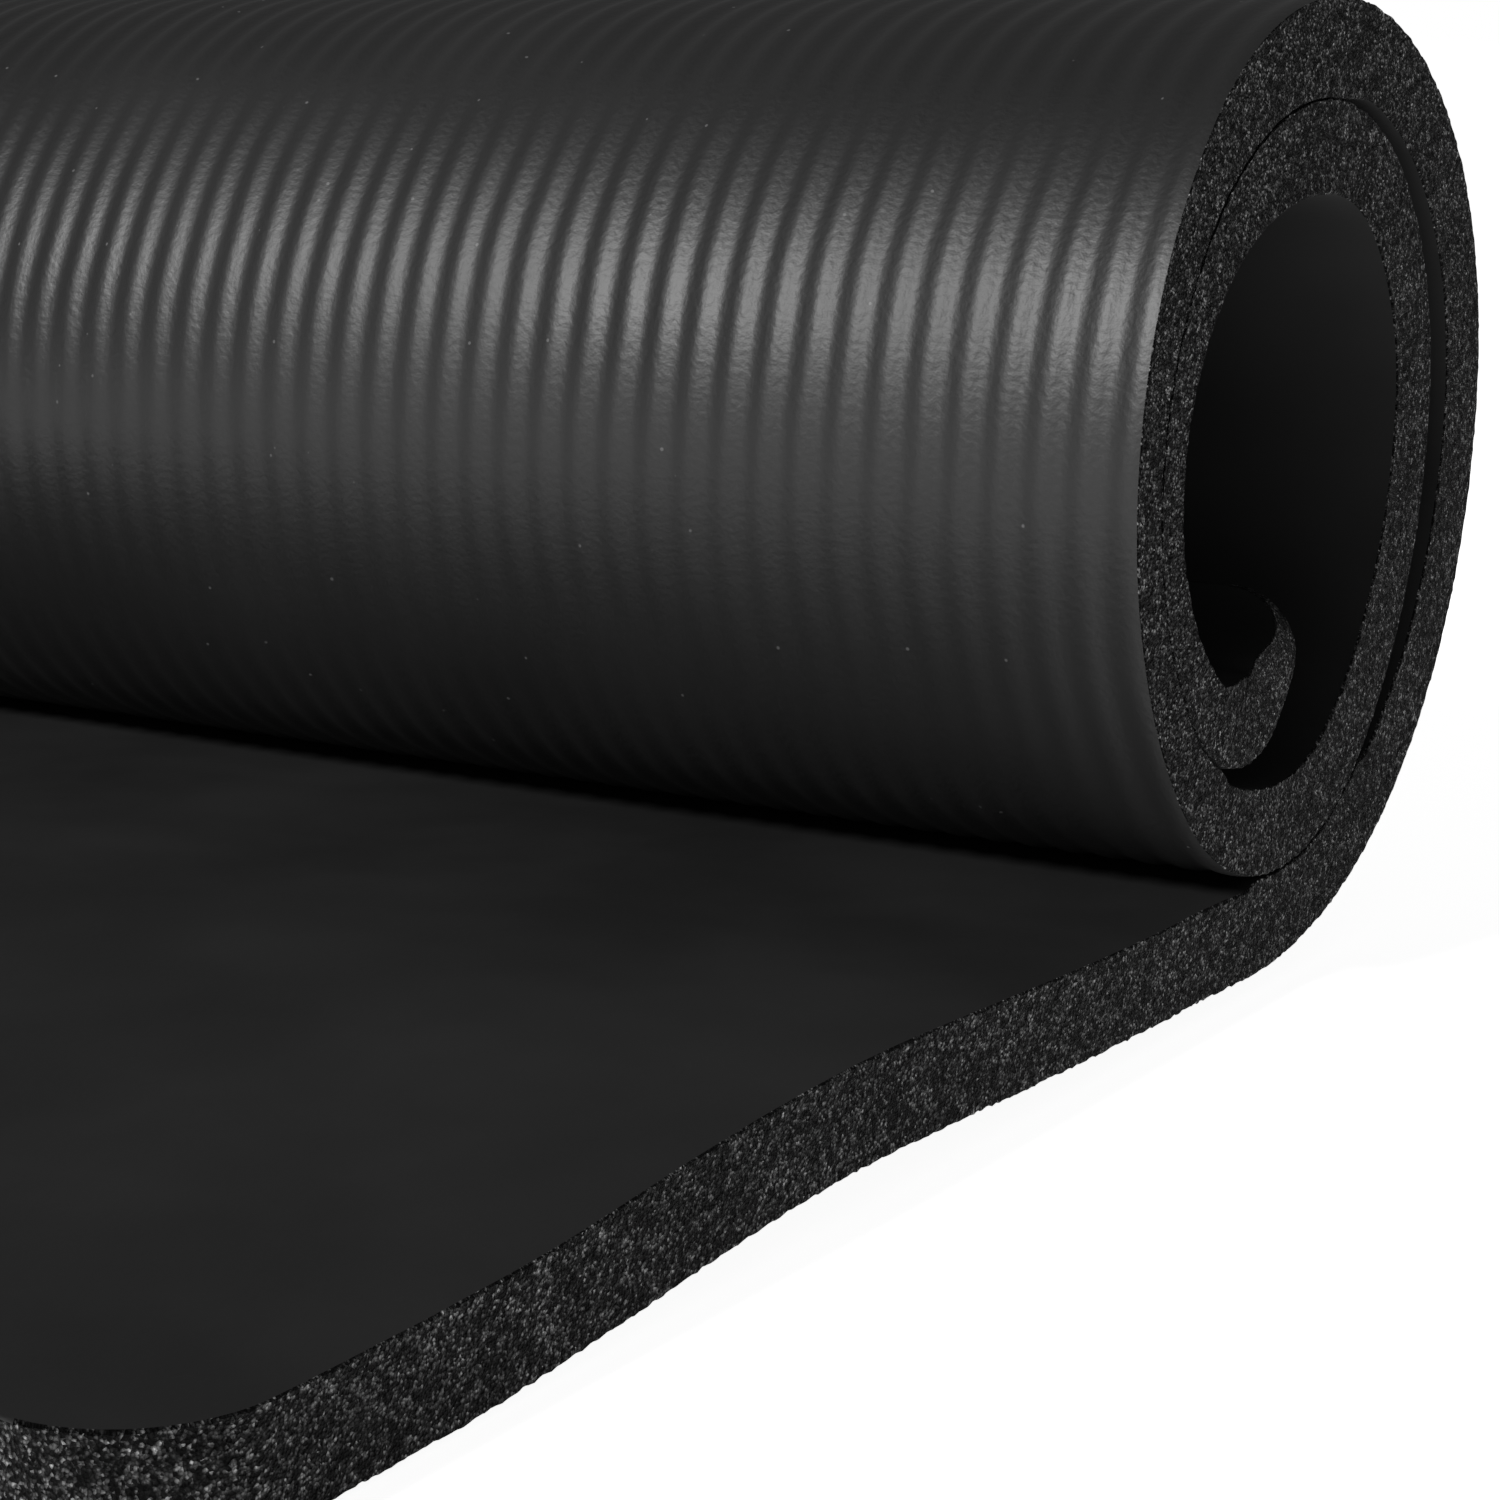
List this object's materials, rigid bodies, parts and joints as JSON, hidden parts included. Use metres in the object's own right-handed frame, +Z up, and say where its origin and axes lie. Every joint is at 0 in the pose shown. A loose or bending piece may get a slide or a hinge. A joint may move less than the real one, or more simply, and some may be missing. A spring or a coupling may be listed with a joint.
{
  "type": "exercise mat",
  "caption": "Thick closed-cell foam exercise mat, partly rolled up, ribbed on one face and smooth on the other, that unrolls flat.",
  "frame": {"origin": "middle of the bottom of the box around the whole mat, on the floor that it lies on", "axes": "+X along the roll, +Y from the free front edge to the roll, +Z up"},
  "size_m": [0.61, 0.297, 0.1345],
  "materials": {
    "foam": "matte black closed-cell foam with a satin moulded skin on the ribbed face"
  },
  "bodies": {
    "front_end": {"front_end": "foam"},
    "hump_front": {"hump_front": "foam"},
    "hump_crown": {"hump_crown": "foam"},
    "hump_back": {"hump_back": "foam"},
    "foot": {"foot": "foam"},
    "curl_01": {"curl_01": "foam"},
    "curl_02": {"curl_02": "foam"},
    "curl_03": {"curl_03": "foam"},
    "curl_04": {"curl_04": "foam"},
    "curl_05": {"curl_05": "foam"},
    "curl_06": {"curl_06": "foam"},
    "curl_07": {"curl_07": "foam"},
    "curl_08": {"curl_08": "foam"},
    "curl_09": {"curl_09": "foam"},
    "curl_10": {"curl_10": "foam"},
    "curl_11": {"curl_11": "foam"},
    "curl_12": {"curl_12": "foam"},
    "curl_13": {"curl_13": "foam"},
    "curl_14": {"curl_14": "foam"},
    "curl_15": {"curl_15": "foam"},
    "curl_16": {"curl_16": "foam"},
    "curl_17": {"curl_17": "foam"},
    "curl_18": {"curl_18": "foam"},
    "curl_19": {"curl_19": "foam"},
    "curl_20": {"curl_20": "foam"},
    "curl_21": {"curl_21": "foam"},
    "curl_22": {"curl_22": "foam"},
    "curl_23": {"curl_23": "foam"},
    "curl_24": {"curl_24": "foam"},
    "curl_25": {"curl_25": "foam"},
    "curl_26": {"curl_26": "foam"}
  },
  "joints": [
    {"name": "unroll", "type": "hinge", "parent": "foot", "child": "curl_01", "pos_m": [0, 0.08793, 0.00891], "axis": [-1, 0, 0], "range_deg": [0, 30], "stiffness_Nm_per_rad": 6},
    {"name": "unroll_02", "type": "hinge", "parent": "curl_01", "child": "curl_02", "pos_m": [0, 0.12158, 0.02834], "axis": [-1, 0, 0], "range_deg": [0, 30]},
    {"name": "unroll_03", "type": "hinge", "parent": "curl_02", "child": "curl_03", "pos_m": [0, 0.13976, 0.05982], "axis": [-1, 0, 0], "range_deg": [0, 30]},
    {"name": "unroll_04", "type": "hinge", "parent": "curl_03", "child": "curl_04", "pos_m": [0, 0.14045, 0.09089], "axis": [-1, 0, 0], "range_deg": [0, 30]},
    {"name": "unroll_05", "type": "hinge", "parent": "curl_04", "child": "curl_05", "pos_m": [0, 0.12757, 0.11321], "axis": [-1, 0, 0], "range_deg": [0, 30]},
    {"name": "unroll_06", "type": "hinge", "parent": "curl_05", "child": "curl_06", "pos_m": [0, 0.1047, 0.12641], "axis": [-1, 0, 0], "range_deg": [0, 30]},
    {"name": "unroll_07", "type": "hinge", "parent": "curl_06", "child": "curl_07", "pos_m": [0, 0.07952, 0.12679], "axis": [-1, 0, 0], "range_deg": [0, 30]},
    {"name": "unroll_08", "type": "hinge", "parent": "curl_07", "child": "curl_08", "pos_m": [0, 0.05781, 0.11578], "axis": [-1, 0, 0], "range_deg": [0, 30]},
    {"name": "unroll_09", "type": "hinge", "parent": "curl_08", "child": "curl_09", "pos_m": [0, 0.04009, 0.08775], "axis": [-1, 0, 0], "range_deg": [0, 30]},
    {"name": "unroll_10", "type": "hinge", "parent": "curl_09", "child": "curl_10", "pos_m": [0, 0.03991, 0.05568], "axis": [-1, 0, 0], "range_deg": [0, 30]},
    {"name": "unroll_11", "type": "hinge", "parent": "curl_10", "child": "curl_11", "pos_m": [0, 0.0562, 0.03011], "axis": [-1, 0, 0], "range_deg": [0, 30]},
    {"name": "unroll_12", "type": "hinge", "parent": "curl_11", "child": "curl_12", "pos_m": [0, 0.07133, 0.02291], "axis": [-1, 0, 0], "range_deg": [0, 30]},
    {"name": "unroll_13", "type": "hinge", "parent": "curl_12", "child": "curl_13", "pos_m": [0, 0.08855, 0.02324], "axis": [-1, 0, 0], "range_deg": [0, 30]},
    {"name": "unroll_14", "type": "hinge", "parent": "curl_13", "child": "curl_14", "pos_m": [0, 0.10422, 0.03229], "axis": [-1, 0, 0], "range_deg": [0, 30]},
    {"name": "unroll_15", "type": "hinge", "parent": "curl_14", "child": "curl_15", "pos_m": [0, 0.12095, 0.06127], "axis": [-1, 0, 0], "range_deg": [0, 30]},
    {"name": "unroll_16", "type": "hinge", "parent": "curl_15", "child": "curl_16", "pos_m": [0, 0.12183, 0.08799], "axis": [-1, 0, 0], "range_deg": [0, 30]},
    {"name": "unroll_17", "type": "hinge", "parent": "curl_16", "child": "curl_17", "pos_m": [0, 0.11184, 0.10529], "axis": [-1, 0, 0], "range_deg": [0, 30]},
    {"name": "unroll_18", "type": "hinge", "parent": "curl_17", "child": "curl_18", "pos_m": [0, 0.09768, 0.11347], "axis": [-1, 0, 0], "range_deg": [0, 30]},
    {"name": "unroll_19", "type": "hinge", "parent": "curl_18", "child": "curl_19", "pos_m": [0, 0.07895, 0.11337], "axis": [-1, 0, 0], "range_deg": [0, 30]},
    {"name": "unroll_20", "type": "hinge", "parent": "curl_19", "child": "curl_20", "pos_m": [0, 0.05969, 0.10379], "axis": [-1, 0, 0], "range_deg": [0, 30]},
    {"name": "unroll_21", "type": "hinge", "parent": "curl_20", "child": "curl_21", "pos_m": [0, 0.04637, 0.08336], "axis": [-1, 0, 0], "range_deg": [0, 30]},
    {"name": "unroll_22", "type": "hinge", "parent": "curl_21", "child": "curl_22", "pos_m": [0, 0.04621, 0.05983], "axis": [-1, 0, 0], "range_deg": [0, 30]},
    {"name": "unroll_23", "type": "hinge", "parent": "curl_22", "child": "curl_23", "pos_m": [0, 0.05835, 0.04147], "axis": [-1, 0, 0], "range_deg": [0, 30]},
    {"name": "unroll_24", "type": "hinge", "parent": "curl_23", "child": "curl_24", "pos_m": [0, 0.06514, 0.03908], "axis": [-1, 0, 0], "range_deg": [0, 30]},
    {"name": "unroll_25", "type": "hinge", "parent": "curl_24", "child": "curl_25", "pos_m": [0, 0.07064, 0.03913], "axis": [-1, 0, 0], "range_deg": [0, 30]},
    {"name": "unroll_26", "type": "hinge", "parent": "curl_25", "child": "curl_26", "pos_m": [0, 0.07434, 0.04127], "axis": [-1, 0, 0], "range_deg": [0, 30]},
    {"name": "flatten_back", "type": "hinge", "parent": "foot", "child": "hump_back", "pos_m": [0, 0.03087, 0.00701], "axis": [1, 0, 0], "range_deg": [0, 4.41]},
    {"name": "flatten_crown_back", "type": "hinge", "parent": "hump_back", "child": "hump_crown", "pos_m": [0, -0.01038, 0.01019], "axis": [-1, 0, 0], "range_deg": [0, 4.41]},
    {"name": "flatten_crown_front", "type": "hinge", "parent": "hump_crown", "child": "hump_front", "pos_m": [0, -0.05162, 0.01019], "axis": [-1, 0, 0], "range_deg": [0, 4.41]},
    {"name": "flatten_front", "type": "hinge", "parent": "hump_front", "child": "front_end", "pos_m": [0, -0.09287, 0.00701], "axis": [1, 0, 0], "range_deg": [0, 4.41]}
  ],
  "couplings": [
    {"joint": "unroll_02", "follows": "unroll", "ratio": 1},
    {"joint": "unroll_03", "follows": "unroll", "ratio": 1},
    {"joint": "unroll_04", "follows": "unroll", "ratio": 1},
    {"joint": "unroll_05", "follows": "unroll", "ratio": 1},
    {"joint": "unroll_06", "follows": "unroll", "ratio": 1},
    {"joint": "unroll_07", "follows": "unroll", "ratio": 1},
    {"joint": "unroll_08", "follows": "unroll", "ratio": 1},
    {"joint": "unroll_09", "follows": "unroll", "ratio": 1},
    {"joint": "unroll_10", "follows": "unroll", "ratio": 1},
    {"joint": "unroll_11", "follows": "unroll", "ratio": 1},
    {"joint": "unroll_12", "follows": "unroll", "ratio": 1},
    {"joint": "unroll_13", "follows": "unroll", "ratio": 1},
    {"joint": "unroll_14", "follows": "unroll", "ratio": 1},
    {"joint": "unroll_15", "follows": "unroll", "ratio": 1},
    {"joint": "unroll_16", "follows": "unroll", "ratio": 1},
    {"joint": "unroll_17", "follows": "unroll", "ratio": 1},
    {"joint": "unroll_18", "follows": "unroll", "ratio": 1},
    {"joint": "unroll_19", "follows": "unroll", "ratio": 1},
    {"joint": "unroll_20", "follows": "unroll", "ratio": 1},
    {"joint": "unroll_21", "follows": "unroll", "ratio": 1},
    {"joint": "unroll_22", "follows": "unroll", "ratio": 1},
    {"joint": "unroll_23", "follows": "unroll", "ratio": 1},
    {"joint": "unroll_24", "follows": "unroll", "ratio": 1},
    {"joint": "unroll_25", "follows": "unroll", "ratio": 1},
    {"joint": "unroll_26", "follows": "unroll", "ratio": 1},
    {"joint": "flatten_back", "follows": "unroll", "ratio": 0.14703},
    {"joint": "flatten_crown_back", "follows": "unroll", "ratio": 0.14703},
    {"joint": "flatten_crown_front", "follows": "unroll", "ratio": 0.14703},
    {"joint": "flatten_front", "follows": "unroll", "ratio": 0.14703}
  ]
}
